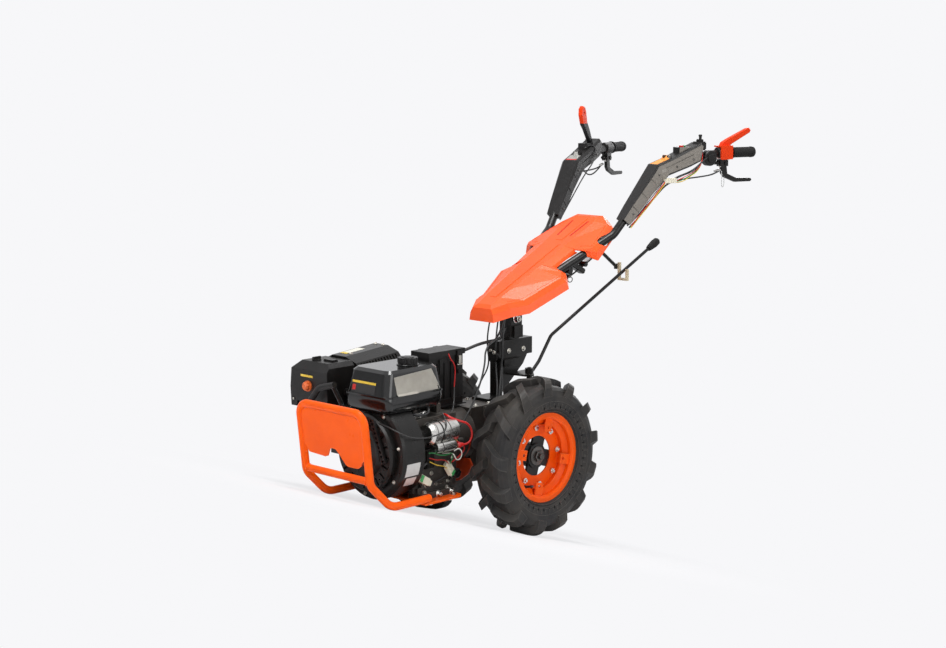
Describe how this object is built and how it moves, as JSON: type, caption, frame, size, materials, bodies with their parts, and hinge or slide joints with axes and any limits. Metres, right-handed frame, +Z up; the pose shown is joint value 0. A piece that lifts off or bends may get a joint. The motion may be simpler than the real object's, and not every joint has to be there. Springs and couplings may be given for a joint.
{
  "type": "two-wheel walking tractor",
  "caption": "Two-wheel walking tractor with a front engine, lugged tyres, tube bumper and a swivelling handlebar, parked nose down on its bumper.",
  "frame": {"origin": "centre of the whole machine's outline on the floor it is parked on", "axes": "+X forward over the engine and bumper, +Y to the machine's left, along the axle, +Z up"},
  "size_m": [1.4644, 0.6528, 1.5222],
  "materials": {
    "tyre_rubber": "matte",
    "wheel_orange": "gloss",
    "frame_orange": "gloss",
    "hub_black": "satin",
    "black_paint": "satin",
    "tank_black": "gloss",
    "cast_grey": "matte",
    "bright_steel": "gloss",
    "cover_orange": "gloss",
    "lever_orange": "gloss",
    "knob_orange": "satin",
    "black_plastic": "matte",
    "soft_black": "matte",
    "ivory_plastic": "satin",
    "battery_grey": "matte"
  },
  "bodies": {
    "chassis": {"air_cleaner": "black_plastic", "air_cleaner_knob": "knob_orange", "base_plate": "frame_orange", "battery": "battery_grey", "battery_box": "black_plastic", "battery_tray": "black_plastic", "bumper": "frame_orange", "bumper_panel": "frame_orange", "clutch_housing": "cast_grey", "crankcase": "cast_grey", "cylinder_head": "cast_grey", "fan_shroud": "black_paint", "fuel_cap": "black_plastic", "fuel_tank": "tank_black", "gearbox": "cast_grey", "head_bracket": "black_paint", "hitch": "black_paint", "muffler_guard": "black_paint", "output_cover": "black_paint", "recoil_cover": "black_paint", "recoil_handle": "black_plastic", "regulator": "black_paint", "side_grille": "black_plastic", "starter_motor": "bright_steel", "swivel_base": "black_paint"},
    "wheel_left": {"tyre_left": "tyre_rubber", "rim_left": "wheel_orange", "hub_left": "hub_black"},
    "wheel_right": {"tyre_right": "tyre_rubber", "rim_right": "wheel_orange", "hub_right": "hub_black"},
    "handlebar": {"arm_shell_left": "black_plastic", "arm_shell_right": "black_plastic", "brake_lever_left": "black_paint", "brake_lever_right": "black_paint", "clutch_lever": "lever_orange", "column": "black_paint", "cover": "cover_orange", "grip_left": "soft_black", "grip_right": "soft_black", "guide_bracket": "black_paint", "guide_hook": "ivory_plastic", "handlebar_frame": "black_paint", "lever_mount_left": "black_paint", "lever_mount_right": "black_paint", "throttle_lever": "lever_orange"},
    "gear_rod": {"gear_knob": "soft_black", "gear_rod": "black_paint"},
    "battery_lid": {"battery_lid": "black_plastic"}
  },
  "joints": [
    {"name": "wheel_left_roll", "type": "hinge", "parent": "chassis", "child": "wheel_left", "pos_m": [0.03262, 0.24958, 0.25], "axis": [0, 1, 0], "continuous": true},
    {"name": "wheel_right_roll", "type": "hinge", "parent": "chassis", "child": "wheel_right", "pos_m": [0.03262, -0.21842, 0.25], "axis": [0, 1, 0], "continuous": true},
    {"name": "handlebar_swivel", "type": "hinge", "parent": "chassis", "child": "handlebar", "pos_m": [0.00271, 0.01558, 0.61124], "axis": [0.2974, 0, 0.9547], "range_deg": [-20, 20]},
    {"name": "gear_rod_follow", "type": "hinge", "parent": "chassis", "child": "gear_rod", "pos_m": [-0.02071, 0.10358, 0.51589], "axis": [0.2974, 0, 0.9547], "range_deg": [-20, 20]},
    {"name": "battery_lid_hinge", "type": "hinge", "parent": "chassis", "child": "battery_lid", "pos_m": [0.30239, -0.04842, 0.50741], "axis": [0.9547, 0, -0.2974], "range_deg": [0, 100]}
  ],
  "couplings": [
    {"joint": "gear_rod_follow", "follows": "handlebar_swivel", "ratio": 1}
  ]
}
